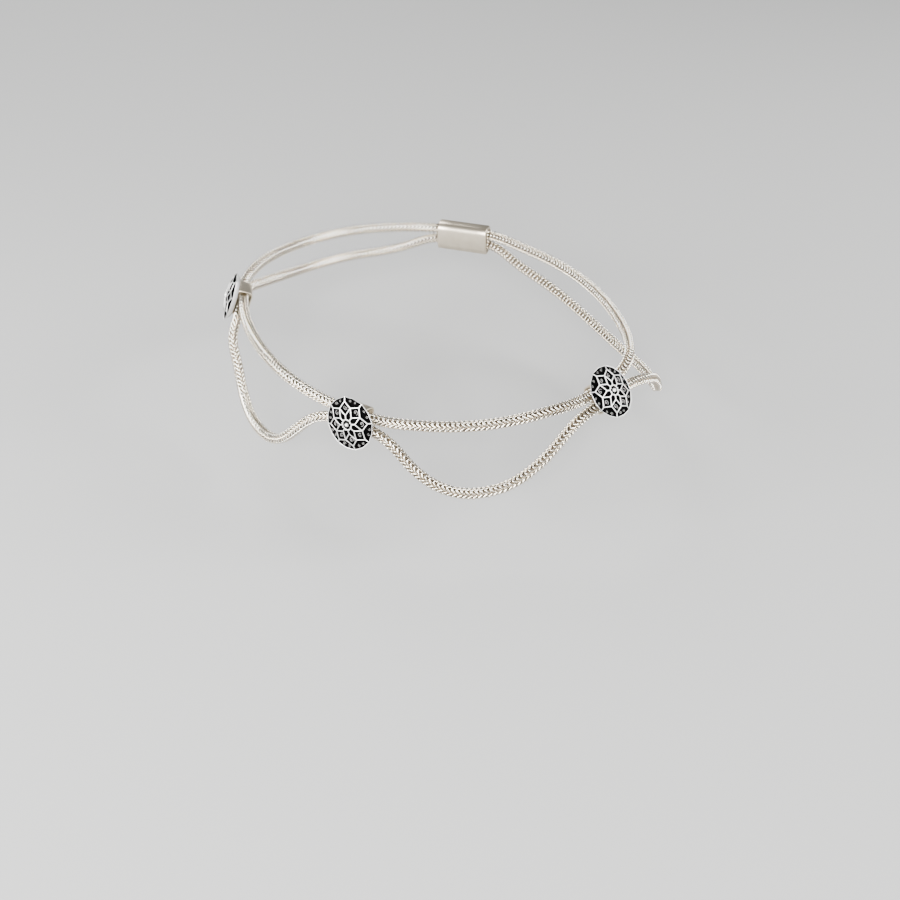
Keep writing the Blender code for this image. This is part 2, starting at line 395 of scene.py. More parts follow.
def realised(
    name: str, host: bpy.types.Object, tree: bpy.types.NodeTree, values: dict[str, object],
) -> bpy.types.Mesh:
    """Runs a geometry tree on a host object and keeps the result as a plain mesh.

    Args:
        name: the new mesh's name.
        host: a mesh object that the tree reads, removed afterwards.
        tree: the geometry tree.
        values: the tree's named inputs.

    Returns:
        The plain mesh.
    """
    modifier = host.modifiers.new(tree.name, "NODES")
    modifier.node_group = tree
    for socket in tree.interface.items_tree:
        if socket.item_type == "SOCKET" and socket.in_out == "INPUT" and socket.name in values:
            modifier[socket.identifier] = values[socket.name]
    graph = bpy.context.evaluated_depsgraph_get()
    mesh = bpy.data.meshes.new_from_object(
        host.evaluated_get(graph), preserve_all_data_layers=True, depsgraph=graph)
    mesh.name = name
    host.modifiers.remove(modifier)
    bpy.data.objects.remove(host, do_unlink=True)
    return mesh


def new_tree(name: str, sizes: dict[str, str]) -> tuple[Graph, bpy.types.Node, bpy.types.Node]:
    """Starts a geometry tree.

    Args:
        name: the tree's name.
        sizes: its named inputs with their socket types.

    Returns:
        The graph, its input node and its output node.
    """
    tree = bpy.data.node_groups.new(name, "GeometryNodeTree")
    tree.interface.new_socket("Geometry", in_out="INPUT", socket_type="NodeSocketGeometry")
    tree.interface.new_socket("Geometry", in_out="OUTPUT", socket_type="NodeSocketGeometry")
    for label, kind in sizes.items():
        tree.interface.new_socket(label, in_out="INPUT", socket_type=kind)
    graph = Graph(tree)
    return graph, graph.add("NodeGroupInput"), graph.add("NodeGroupOutput")


def finish_tree(
    graph: Graph, shape: bpy.types.NodeSocket, given: bpy.types.Node, out: bpy.types.Node,
) -> None:
    """Ends a tree in Realize Instances and Set Material.

    Args:
        graph: the tree.
        shape: the socket of the instances.
        given: the tree's input node, which holds the finish.
        out: the tree's output node.
    """
    real = graph.add("GeometryNodeRealizeInstances")
    paint = graph.add("GeometryNodeSetMaterial")
    graph.link(shape, real.inputs[0])
    graph.link(real.outputs[0], paint.inputs["Geometry"])
    graph.link(given.outputs["Finish"], paint.inputs["Material"])
    graph.link(paint.outputs[0], out.inputs[0])


@dataclass
class AnkleLoop:
    """The oval that the upper strand's centre line follows, and the seats on it."""

    half_width: float = 37.2 * MM
    half_length: float = 43.5 * MM

    def outward(self, turn: float) -> Vector:
        """Returns the level direction away from the ankle at a turn in degrees."""
        angle = math.radians(turn)
        across = Vector((math.cos(angle) / self.half_width, math.sin(angle) / self.half_length, 0.0))
        return across.normalized()

    def point(self, turn: float, height: float, stand_off: float) -> Vector:
        """Gives a point beside the oval.

        Args:
            turn: the turn round the ankle in degrees.
            height: the height in metres.
            stand_off: the distance out of the oval in metres.

        Returns:
            The point.
        """
        angle = math.radians(turn)
        on_oval = Vector((self.half_width * math.cos(angle), self.half_length * math.sin(angle), height))
        return on_oval + self.outward(turn) * stand_off

    def seat(self, place: Place) -> Matrix:
        """Gives a seat's own frame.

        Args:
            place: the slider or clasp that sits there.

        Returns:
            A matrix with X along the strands, Y up the face and Z out of it.
        """
        seat = SEATS[place]
        level = Matrix.Rotation(math.radians(seat.swing), 3, "Z") @ self.outward(seat.turn)
        along = Vector((-level.y, level.x, 0.0))
        tip = math.radians(seat.tip)
        face = level * math.cos(tip) + UP * math.sin(tip)
        matrix = Matrix((along, face.cross(along), face)).transposed().to_4x4()
        matrix.translation = self.point(seat.turn, seat.height, seat.stand_off)
        return matrix


def smooth_path(points: Sequence[Vector], step: float) -> list[Point]:
    """Reads a natural cubic curve through the points.

    Args:
        points: the points that the curve passes.
        step: the longest distance between two points of the result.

    Returns:
        The points of the curve.
    """
    knots = np.array([tuple(point) for point in points])
    chords = np.linalg.norm(np.diff(knots, axis=0), axis=1)
    system = np.eye(len(knots))
    target = np.zeros((len(knots), 3))
    for i in range(1, len(knots) - 1):
        system[i, i - 1:i + 2] = chords[i - 1], 2.0 * (chords[i - 1] + chords[i]), chords[i]
        after, before = (knots[i + 1] - knots[i]) / chords[i], (knots[i] - knots[i - 1]) / chords[i - 1]
        target[i] = 6.0 * (after - before)
    bends = np.linalg.solve(system, target)
    path = [tuple(knots[0])]
    for i, chord in enumerate(chords):
        pieces = max(1, math.ceil(chord / step))
        for share in np.arange(1, pieces + 1) / pieces:
            rest = 1.0 - share
            curve = (rest ** 3 - rest) * bends[i] + (share ** 3 - share) * bends[i + 1]
            path.append(tuple(rest * knots[i] + share * knots[i + 1] + curve * chord ** 2 / 6.0))
    return path


@dataclass
class Fit:
    """Sizes that the strands, sleeves and clasp share."""

    strand: float = 2.2 * MM
    side_gap: float = 0.3 * MM
    face_gap: float = 0.3 * MM
    mouth_lead: float = 0.6 * MM
    sleeve_length: float = 4.8 * MM
    sleeve_band: float = 0.35 * MM
    clasp_length: float = 12.0 * MM
    clasp_wall: float = 0.7 * MM
    socket_depth: float = 2.5 * MM

    @property
    def spacing(self) -> float:
        """The distance between the two strands' centre lines in a sleeve."""
        return self.strand + self.side_gap

    @property
    def channel_height(self) -> float:
        """The height inside a sleeve and inside the clasp's sockets."""
        return 2.0 * self.strand + 3.0 * self.side_gap

    @property
    def channel_depth(self) -> float:
        """The depth inside a sleeve."""
        return self.strand + 2.0 * self.face_gap

    @property
    def sleeve_face(self) -> float:
        """The distance from the strands' centre lines to the sleeve's outer face."""
        return self.channel_depth / 2.0 + self.sleeve_band


@dataclass
class WovenStrand:
    """One square strand: a column of bent wires on each corner, interlocked on the flat sides."""

    run: Run
    loop: AnkleLoop
    fit: Fit
    pitch: float = 0.92 * MM
    corner: float = 1.05 * MM
    flat: float = 0.77 * MM
    wire: float = 0.20 * MM
    wire_thinning: float = 0.06
    lean: float = 1.10
    bend: float = 1.45
    overrun: float = 1.10
    tuck: float = 1.6 * MM
    tuck_from: float = 0.92
    stagger: float = 0.5
    core: float = 0.78 * MM
    core_raise: float = 0.5
    core_sides: int = 8
    wire_sides: int = 6
    stitch_steps: int = 10
    roll: float = 30.0
    path_step: float = 0.6 * MM
    jitter: float = 4.0
    seed: int = 11

    @property
    def name(self) -> str:
        """The strand's node name."""
        return self.run.name.lower() + "_strand"

    def route(self) -> list[Vector]:
        """Lists the points that the strand passes, from one end in the clasp to the other.

        Returns:
            The chosen points, with those that keep it straight in each sleeve and socket.
        """
        end = self.fit.clasp_length / 2.0 - self.fit.socket_depth + self.fit.side_gap
        mouth = self.fit.clasp_length / 2.0 + self.fit.mouth_lead
        half = self.fit.sleeve_length / 2.0 + self.fit.mouth_lead
        points = self._seated(Place.CLASP, (end, mouth))
        for place, rows in ROUTES[self.run].items():
            points += [self.loop.point(*row) for row in rows]
            if place is not Place.CLASP:
                points += self._seated(place, (-half, -half / 2.0, half / 2.0, half))
        return points + self._seated(Place.CLASP, (-mouth, -end))

    def _seated(self, place: Place, reaches: Sequence[float]) -> list[Vector]:
        """Returns the strand's points at a seat, at distances along it."""
        side = self.run.value * self.fit.spacing
        return [self.loop.seat(place) @ Vector((reach, side, 0.0)) for reach in reaches]

    def _host(self) -> bpy.types.Object:
        """Builds the strand's centre line.

        Returns:
            An object whose mesh is a chain of edges.
        """
        path = smooth_path(self.route(), self.path_step)
        mesh = bpy.data.meshes.new(self.name + "_line")
        mesh.from_pydata(path, [(i, i + 1) for i in range(len(path) - 1)], [])
        return add_piece(self.name + "_line", mesh)

    def _stitch_point(self, share: float) -> tuple[Vector, float]:
        """Gives one point of a bent wire.

        Args:
            share: 0 on the strand's corner, -1 and 1 in the middle of the flat sides beside it.

        Returns:
            The point, with X out of the corner and Z along the strand, and the wire's radius there.
        """
        reach = abs(share)
        turn = math.radians(HALF_CORNER * share)
        square = self.flat / math.cos(math.radians(HALF_CORNER) - abs(turn))
        out = min(square, self.corner) - self.tuck * max(reach - self.tuck_from, 0.0)
        along = self.pitch * self.lean * (reach ** self.bend - 0.5)
        radius = self.wire * (1.0 - self.wire_thinning * min(reach, 1.0))
        return Vector((out * math.cos(turn), out * math.sin(turn), along)), radius

    def _wire(self, body: bmesh.types.BMesh, spin: Matrix, shift: float) -> None:
        """Adds one bent wire over a corner.

        Args:
            body: the mesh that it is added to.
            spin: turns it to its corner.
            shift: moves it along the strand.
        """
        rings = []
        nudge = 0.01
        for i in range(self.stitch_steps + 1):
            share = self.overrun * (2.0 * i / self.stitch_steps - 1.0)
            centre, radius = self._stitch_point(share)
            ahead = self._stitch_point(share + nudge)[0] - self._stitch_point(share - nudge)[0]
            side = ahead.cross(Vector((centre.x, centre.y, 0.0))).normalized()
            rise = side.cross(ahead).normalized()
            centre.z += shift
            ring = circle(centre, side, rise, radius, self.wire_sides)
            rings.append([body.verts.new(spin @ point) for point in ring])
        tube(body, rings)

    def _stitch_ring(self) -> bpy.types.Object:
        """Builds the four bent wires of one pitch of the weave, one on each corner.

        Returns:
            A helper object that the weave copies, marked so that its finish paints shade in the grooves
            towards the strand's axis.
        """
        body = bmesh.new()
        for column in range(4):
            spin = Matrix.Rotation(math.radians(2.0 * HALF_CORNER * column), 3, "Z")
            self._wire(body, spin, self.pitch * self.stagger * (column % 2))
        mesh = mesh_of(body, self.name + "_stitches")
        # The raise falls towards the strand's axis, so the finish paints shade in the grooves between the
        # wires.
        low, high = self.flat - self.wire / 2.0, self.corner + self.wire
        mark_raise(mesh, lambda point: (point.xy.length - low) / (high - low))
        return add_piece(self.name + "_stitches", mesh)

    def _weave_tree(self) -> bpy.types.NodeTree:
        """Builds the tree that sets a ring of stitches at every pitch of the strand.

        Returns:
            The geometry tree.
        """
        graph, given, out = new_tree(self.name + "_weave", {
            "Pitch": "NodeSocketFloat", "Roll": "NodeSocketFloat", "Jitter": "NodeSocketFloat",
            "Seed": "NodeSocketInt", "Stitches": "NodeSocketObject", "Finish": "NodeSocketMaterial",
        })
        line = graph.add("GeometryNodeMeshToCurve")
        even = graph.add("GeometryNodeResampleCurve", mode="LENGTH")
        graph.link(given.outputs["Geometry"], line.inputs["Mesh"])
        graph.link(line.outputs["Curve"], even.inputs["Curve"])
        graph.link(given.outputs["Pitch"], even.inputs["Length"])
        level = graph.add("ShaderNodeVectorMath", operation="MULTIPLY")
        level.inputs[1].default_value = (1.0, 1.0, 0.0)
        graph.link(graph.add("GeometryNodeInputPosition").outputs[0], level.inputs[0])
        axes = graph.add("FunctionNodeAxesToRotation", primary_axis="Z", secondary_axis="X")
        graph.link(graph.add("GeometryNodeInputTangent").outputs[0], axes.inputs[0])
        graph.link(level.outputs[0], axes.inputs[1])
        chance = graph.add("FunctionNodeRandomValue", data_type="FLOAT")
        graph.link(graph.maths("MULTIPLY", given.outputs["Jitter"], -1.0), chance.inputs[2])
        graph.link(given.outputs["Jitter"], chance.inputs[3])
        graph.link(given.outputs["Seed"], chance.inputs["Seed"])
        turned = graph.add("FunctionNodeAxisAngleToRotation")
        turned.inputs["Axis"].default_value = (0.0, 0.0, 1.0)
        graph.link(graph.maths("ADD", given.outputs["Roll"], chance.outputs[1]), turned.inputs["Angle"])
        both = graph.add("FunctionNodeRotateRotation", rotation_space="LOCAL")
        graph.link(axes.outputs[0], both.inputs[0])
        graph.link(turned.outputs[0], both.inputs[1])
        source = graph.add("GeometryNodeObjectInfo")
        graph.link(given.outputs["Stitches"], source.inputs["Object"])
        copies = graph.add("GeometryNodeInstanceOnPoints")
        graph.link(even.outputs[0], copies.inputs["Points"])
        graph.link(source.outputs["Geometry"], copies.inputs["Instance"])
        graph.link(both.outputs[0], copies.inputs["Rotation"])
        finish_tree(graph, copies.outputs[0], given, out)
        return graph.tree

    def build(self) -> None:
        """Weaves the strand and dresses it."""
        ring = self._stitch_ring()
        values = {
            "Pitch": self.pitch, "Roll": math.radians(self.roll), "Jitter": math.radians(self.jitter),
            "Seed": self.seed, "Stitches": ring, "Finish": WOVEN.material(),
        }
        weave = realised(self.name + "_weave", self._host(), self._weave_tree(), values)
        bpy.data.objects.remove(ring, do_unlink=True)
        dress(add_piece(self.name + "_weave", weave), (self.name,))
        dress(self._core())

    def _core(self) -> bpy.types.Object:
        """Builds the core that closes the gaps between the stitches, painted dark as the shade inside the
        weave.

        Returns:
            The core.
        """
        path = smooth_path(self.route(), 2.0 * self.path_step)
        body = bmesh.new()
        rings = []
        for i, place in enumerate(path):
            ahead = Vector(path[min(i + 1, len(path) - 1)]) - Vector(path[max(i - 1, 0)])
            across = ahead.cross(UP).normalized()
            up = across.cross(ahead).normalized()
            ring = circle(Vector(place), across, up, self.core, self.core_sides)
            rings.append([body.verts.new(point) for point in ring])
        tube(body, rings)
        mesh = mesh_of(body, self.name + "_core")
        # The core's raise mixes its two dark colours, both painted shade.
        mark_raise(mesh, lambda point: self.core_raise)
        return add_piece(self.name + "_core", mesh, PAINTED_SHADE_CORE.material())


def circle(centre: Vector, across: Vector, up: Vector, radius: float, sides: int) -> list[Vector]:
    """Gives the points of a circle.

    Args:
        centre: its centre.
        across: the direction of its first point.
        up: the direction of the point a quarter further.
        radius: its radius.
        sides: how many points it has.

    Returns:
        The points in turn.
    """
    angles = [2.0 * math.pi * k / sides for k in range(sides)]
    return [centre + across * (radius * math.cos(a)) + up * (radius * math.sin(a)) for a in angles]


def bridge(
    body: bmesh.types.BMesh, first: Sequence[bmesh.types.BMVert], second: Sequence[bmesh.types.BMVert],
) -> None:
    """Joins two loops with a band of faces.

    Args:
        body: the mesh that holds them.
        first: the points of one loop.
        second: as many points of the other.
    """
    for i, vertex in enumerate(first):
        after = (i + 1) % len(first)
        body.faces.new((vertex, first[after], second[after], second[i]))


def tube(body: bmesh.types.BMesh, rings: Sequence[Sequence[bmesh.types.BMVert]]) -> None:
    """Joins rings in turn and closes both ends.

    Args:
        body: the mesh that holds them.
        rings: the points of each ring.
    """
    for first, second in zip(rings, rings[1:]):
        bridge(body, first, second)
    body.faces.new(rings[0])
    body.faces.new(rings[-1])


def rounded_rectangle(
    width: float, height: float, corner: float, steps: int = 6,
) -> list[tuple[float, float]]:
    """Gives the points of a rounded rectangle about its centre.

    Args:
        width: the full width.
        height: the full height.
        corner: the corners' radius.
        steps: the pieces of each corner's arc.

    Returns:
        The points, anticlockwise.
    """
    points = []
    for quarter, (along, up) in enumerate(((1, 1), (-1, 1), (-1, -1), (1, -1))):
        centre = (along * (width / 2.0 - corner), up * (height / 2.0 - corner))
        for step in range(steps + 1):
            angle = math.radians(90.0 * (quarter + step / steps))
            points.append((centre[0] + corner * math.cos(angle), centre[1] + corner * math.sin(angle)))
    return points


@dataclass
class RosetteSlider:
    """A domed rosette of raised wires round dark cells, most with curls, soldered to a band."""

    place: Place
    loop: AnkleLoop
    fit: Fit
    radius: float = 5.25 * MM
    petals: int = 8
    wall: float = 0.9 * MM
    dome: float = 0.95 * MM
    wire: float = 0.17 * MM
    recess: float = 0.34 * MM
    slope: float = 0.05 * MM
    rim_slope: float = 0.13 * MM
    edge_round: float = 0.05 * MM
    boss: float = 1.0 * MM
    ball: float = 0.40 * MM
    bead: float = 0.17 * MM
    inner_share: float = 0.34
    side_share: float = 0.63
    tip_share: float = 0.83
    scallop_share: float = 0.985
    taper: float = 0.9 * MM
    solder: float = 0.2 * MM
    curl: float = 0.46 * MM
    curl_wire: float = 0.055 * MM
    outer_curl_size: float = 0.62
    outer_curl_reach: float = 0.85
    outer_curl_turns: tuple[float, float] = (-0.15, 0.17)
    curl_turn: float = 330.0
    curl_closing: float = 0.55
    curl_lift: float = 0.6
    curl_grain: float = 1.5
    curl_spread: float = 0.15
    curl_steps: int = 14
    curl_sides: int = 6
    curl_seed: int = 5
    ball_sink: float = 0.05 * MM
    bead_circle: float = 0.98
    bead_lift: float = 0.02 * MM
    boss_raise: float = 0.6
    boss_foot: float = 0.1 * MM
    corner: float = 0.7 * MM
    sleeve_soft: float = 0.12 * MM
    # Raise of the band: a low base that paints shade, with painted highlight added at the ends and on the
    # front.
    sleeve_shade_raise: float = 0.45
    end_highlight: float = 0.5
    front_highlight: float = 0.25
    low_wall: float = 0.3
    # Raise low on the rosette's wall and on its back, which paints shade there.
    low_wall_shade_raise: float = 0.8
    rim_limit: float = 0.985
    edge_steps: int = 4

    @property
    def base(self) -> float:
        """The height of the rosette's back over the strands' centre lines."""
        return self.fit.sleeve_face - self.solder

    def _height(self, radius: float) -> float:
        """Returns the height of the domed face at a radius."""
        return self.base + self.wall + self.dome * (1.0 - (radius / self.radius) ** 2)

    def _node(self, radius: float, turn: float) -> Vector:
        """Returns a flat lattice point at a radius and a turn in degrees."""
        return Vector((radius * math.cos(math.radians(turn)), radius * math.sin(math.radians(turn)), 0.0))

    def _cells(self) -> list[list[Vector]]:
        """Lists the corners of each cell of the lattice, in the face's plane.

        Returns:
            Inner cells, petals and outer cells in turn, for each petal.
        """
        step = 360.0 / self.petals
        side_radius = self.side_share * self.radius
        cells = []
        for i in range(self.petals):
            turn = step * i
            boss = [self._node(self.boss, turn + step * k / 2.0) for k in range(3)]
            inner = [self._node(self.inner_share * self.radius, turn + step * k) for k in range(2)]
            before, side = (self._node(side_radius, turn + step * (k - 0.5)) for k in range(2))
            tips = [self._node(self.tip_share * self.radius, turn + step * k) for k in range(2)]
            outer = [self._node(self.radius, turn + step * k) for k in range(2)]
            scallop = self._node(self.scallop_share * self.radius, turn + step / 2.0)
            cells.append([inner[0], *boss, inner[1], side])
            cells.append([inner[0], before, tips[0], side])
            cells.append([side, tips[1], outer[1], scallop, outer[0], tips[0]])
        return cells

    def _face(self, body: bmesh.types.BMesh) -> None:
        """Builds the lattice, its sunk cells and the wall below it.

        Args:
            body: the empty mesh that they are built in.
        """
        known: dict[tuple[int, int], bmesh.types.BMVert] = {}

        def vertex(flat: Vector) -> bmesh.types.BMVert:
            """Gives a point of the domed face.

            Args:
                flat: the point below it in the face's plane.

            Returns:
                The point, which cells that meet there share.
            """
            key = (round(flat.x * MATCH_STEPS), round(flat.y * MATCH_STEPS))
            if key not in known:
                known[key] = body.verts.new((flat.x, flat.y, self._height(flat.length)))
            return known[key]

        faces = []
        for cell in self._cells():
            points = []
            for start, end in zip(cell, cell[1:] + cell[:1]):
                points += [vertex(start.lerp(end, k / self.edge_steps)) for k in range(self.edge_steps)]
            faces.append(body.faces.new(points))
        open_edges = [edge for edge in body.edges if edge.is_boundary]
        ring = [edge for edge in open_edges if edge.verts[0].co.xy.length < 2.0 * self.boss]
        crown = bmesh.ops.edgeloop_fill(body, edges=ring)["faces"]
        bmesh.ops.recalc_face_normals(body, faces=body.faces)
        if crown[0].normal.z < 0.0:
            bmesh.ops.reverse_faces(body, faces=body.faces)
        sunk = faces + list(crown)
        bmesh.ops.inset_individual(body, faces=sunk, thickness=self.wire / 2.0, use_even_offset=True)
        top = [edge for face in sunk for edge in face.edges]
        outer = faces[2::3]
        inner = [face for face in sunk if face not in outer]
        bmesh.ops.inset_individual(body, faces=inner, thickness=self.slope, depth=-self.recess)
        bmesh.ops.inset_individual(body, faces=outer, thickness=self.rim_slope, depth=-self.recess)
        open_edges = [edge for edge in body.edges if edge.is_boundary]
        skirt = bmesh.ops.extrude_edge_only(body, edges=open_edges)["geom"]
        for point in (part for part in skirt if isinstance(part, bmesh.types.BMVert)):
            share = (self.radius - self.taper) / point.co.xy.length
            point.co = Vector((point.co.x * share, point.co.y * share, self.base))
        back = [part for part in skirt if isinstance(part, bmesh.types.BMEdge)]
        rim = [edge for edge in body.edges if not edge.is_boundary and self._on_rim(edge)]
        bmesh.ops.edgeloop_fill(body, edges=back)
        bmesh.ops.bevel(
            body, geom=list(dict.fromkeys(top + rim)), offset=self.edge_round, segments=2, profile=0.5,
            affect="EDGES", clamp_overlap=True,
        )

    def _on_rim(self, edge: bmesh.types.BMEdge) -> bool:
        """Tells whether an edge lies on the rim of the face.

        Args:
            edge: an edge of the body.

        Returns:
            True where both ends lie near the radius and above half the wall.
        """
        limit = self.scallop_share * self.radius * self.rim_limit
        return all(
            end.co.xy.length > limit and end.co.z > self.base + self.wall / 2.0 for end in edge.verts
        )

    def _lattice(self) -> bpy.types.Mesh:
        """Builds the rosette's body.

        Returns:
            A mesh that is marked for its finish.
        """
        body = bmesh.new()
        self._face(body)
        bmesh.ops.triangulate(body, faces=[face for face in body.faces if len(face.verts) > 4])
        mesh = mesh_of(body, "lattice", SHARP_FACE)
        bottom = self.base + self.low_wall * self.wall

        def rise(point: Vector) -> float:
            """Tells how high a point lies.

            Args:
                point: a point of the body.

            Returns:
                1 on the wires, 0 on the cells' floors and one lower value low on the wall and on the back,
                which paints shade there.
            """
            # Low on the wall and on the back the finish paints shade.
            if point.z < bottom:
                return self.low_wall_shade_raise
            return 1.0 - (self._height(point.xy.length) - point.z) / self.recess

        mark_raise(mesh, rise)
        return mesh

    def _curl_points(self) -> bpy.types.Mesh:
        """Lists the curls' places on the cells' floors, with the size of each.

        Returns:
            Loose points, one in each petal and two in each outer cell.
        """
        step = 360.0 / self.petals
        petal = (self.inner_share + self.tip_share) / 2.0
        points = []
        for i in range(self.petals):
            points.append(self._node(petal * self.radius, step * i))
            for share in self.outer_curl_turns:
                points.append(self._node(self.radius * self.outer_curl_reach, step * (i + 0.5 + share)))
        floor = self.recess - self.curl_wire * self.curl_lift
        places = [(point.x, point.y, self._height(point.length) - floor) for point in points]
        mesh = bpy.data.meshes.new(self.place.value + "_curl_points")
        mesh.from_pydata(places, [], [])
        layer = mesh.attributes.new("size", "FLOAT", "POINT")
        sizes = [1.0, self.outer_curl_size, self.outer_curl_size]
        layer.data.foreach_set("value", sizes * self.petals)
        return mesh

    def _curl(self) -> bpy.types.Object:
        """Builds one curl of thin wire round a grain.

        Returns:
            A helper object that the cells' curls copy.
        """
        body = bmesh.new()
        rings = []
        for i in range(self.curl_steps + 1):
            share = i / self.curl_steps
            turn = math.radians(self.curl_turn * share)
            out = Vector((math.cos(turn), math.sin(turn), 0.0))
            reach = self.curl * (1.0 - self.curl_closing * share)
            ring = circle(out * reach, out, UP, self.curl_wire, self.curl_sides)
            rings.append([body.verts.new(point) for point in ring])
        tube(body, rings)
        grain = Matrix.Translation((0.0, 0.0, self.curl_wire * 0.5))
        size = self.curl_wire * self.curl_grain
        bmesh.ops.create_icosphere(body, subdivisions=2, radius=size, matrix=grain)
        mesh = mesh_of(body, self.place.value + "_curl")
        mark_raise(mesh, lambda point: 0.5 + 0.5 * point.z / self.curl_wire)
        return add_piece(self.place.value + "_curl", mesh)

    def _curl_tree(self) -> bpy.types.NodeTree:
        """Builds the tree that sets a turned curl on each point.

        Returns:
            The geometry tree.
        """
        graph, given, out = new_tree("curls_" + self.place.value, {
            "Curl": "NodeSocketObject", "Spread": "NodeSocketFloat", "Seed": "NodeSocketInt",
            "Finish": "NodeSocketMaterial",
        })
        source = graph.add("GeometryNodeObjectInfo")
        graph.link(given.outputs["Curl"], source.inputs["Object"])
        size = graph.add("FunctionNodeRandomValue", data_type="FLOAT")
        graph.link(graph.maths("SUBTRACT", 1.0, given.outputs["Spread"]), size.inputs[2])
        graph.link(graph.maths("ADD", 1.0, given.outputs["Spread"]), size.inputs[3])
        graph.link(given.outputs["Seed"], size.inputs["Seed"])
        turn = graph.add("FunctionNodeRandomValue", data_type="FLOAT")
        turn.inputs[3].default_value = 2.0 * math.pi
        graph.link(given.outputs["Seed"], turn.inputs["Seed"])
        spin = graph.add("FunctionNodeAxisAngleToRotation")
        spin.inputs["Axis"].default_value = (0.0, 0.0, 1.0)
        graph.link(turn.outputs[1], spin.inputs["Angle"])
        copies = graph.add("GeometryNodeInstanceOnPoints")
        graph.link(given.outputs["Geometry"], copies.inputs["Points"])
        graph.link(source.outputs["Geometry"], copies.inputs["Instance"])
        graph.link(spin.outputs[0], copies.inputs["Rotation"])
        own = graph.add("GeometryNodeInputNamedAttribute", data_type="FLOAT")
        own.inputs["Name"].default_value = "size"
        scale = graph.maths("MULTIPLY", size.outputs[1], own.outputs["Attribute"])
        graph.link(scale, copies.inputs["Scale"])
        finish_tree(graph, copies.outputs[0], given, out)
        return graph.tree

    def _curls(self) -> bpy.types.Mesh:
        """Sets a curl on each of its points.

        Returns:
            The mesh of all the curls.
        """
        name = self.place.value + "_curls"
        points = self._curl_points()
        curl = self._curl()
        values = {
            "Curl": curl, "Spread": self.curl_spread,
            "Seed": self.curl_seed + list(Place).index(self.place), "Finish": CURLS.material(),
        }
        mesh = realised(name, add_piece(name + "_points", points), self._curl_tree(), values)
        bpy.data.objects.remove(curl, do_unlink=True)
        return mesh

    def _boss(self) -> bpy.types.Mesh:
        """Builds the boss, a ball in a ring of beads.

        Returns:
            A mesh that is marked for its finish.
        """
        body = bmesh.new()
        top = self._height(0.0)
        place = Matrix.Translation((0.0, 0.0, top - self.ball_sink))
        bmesh.ops.create_uvsphere(body, u_segments=20, v_segments=12, radius=self.ball, matrix=place)
        for k in range(self.petals):
            spot = self._node(self.boss * self.bead_circle, 360.0 / self.petals * (k + 0.5))
            spot.z = self._height(self.boss) + self.bead_lift
            bead = Matrix.Translation(spot)
            bmesh.ops.create_icosphere(body, subdivisions=2, radius=self.bead, matrix=bead)
        mesh = mesh_of(body, "boss")
        mark_raise(mesh, lambda point: self.boss_raise + (point.z - top + self.boss_foot) / self.ball)
        return mesh

    def _sleeve(self) -> bpy.types.Mesh:
        """Builds the band behind the rosette, with softened edges.

        Returns:
            A mesh that is marked for its finish.
        """
        body = bmesh.new()
        fit = self.fit
        half = fit.sleeve_length / 2.0
        soft = self.sleeve_soft
        middle = EDGE_MIDDLE * soft
        height = fit.channel_height + 2.0 * fit.sleeve_band
        depth = 2.0 * fit.sleeve_face
        rows = (
            (-half + soft, 0.0), (-half + middle, -middle), (-half, -soft),
            (-half, soft - fit.sleeve_band), (-half + soft, -fit.sleeve_band),
            (half - soft, -fit.sleeve_band), (half, soft - fit.sleeve_band),
            (half, -soft), (half - middle, -middle), (half - soft, 0.0),
        )
        loops = []
        for reach, grow in rows:
            corner = self.corner + fit.sleeve_band + grow
            profile = rounded_rectangle(height + 2.0 * grow, depth + 2.0 * grow, corner)
            loops.append([body.verts.new((reach, up, out)) for up, out in profile])
        for first, second in zip(loops, loops[1:] + loops[:1]):
            bridge(body, first, second)
        mesh = mesh_of(body, "sleeve", SHARP_BAND)

        def rise(point: Vector) -> float:
            """Tells how light the band is painted at a point: painted highlight at the two ends and on the
            front, painted shade in the middle and on the back.

            Args:
                point: a point of the band.

            Returns:
                More towards the two ends and on the front.
            """
            # Painted highlight at the band's ends and on its front, painted shade in its middle and on its
            # back.
            ends = min(abs(point.x) / half, 1.0) ** 6
            return self.sleeve_shade_raise + self.end_highlight * ends + self.front_highlight * (point.z > 0.0)

        mark_raise(mesh, rise)
        return mesh

    def build(self) -> None:
        """Makes the slider's pieces, sets them on their seat and dresses them."""
        label = self.place.value
        seat = self.loop.seat(self.place)
        face = seat @ Matrix.Rotation(math.radians(SEATS[self.place].pattern), 4, "Z")
        parts = (
            ("_rosette", self._lattice(), face, WIRES, Slot.BLACKENED, (label + "_slider",)),
            ("_curls", self._curls(), face, CURLS, Slot.BLACKENED, ()),
            ("_boss", self._boss(), face, WIRES, Slot.BLACKENED, ()),
            ("_sleeve", self._sleeve(), seat, BAND, Slot.PLAIN, ()),
        )
        for suffix, mesh, place, finish, slot, replaced in parts:
            mesh.transform(place)
            dress(add_piece(label + suffix, mesh, finish.material()), replaced)


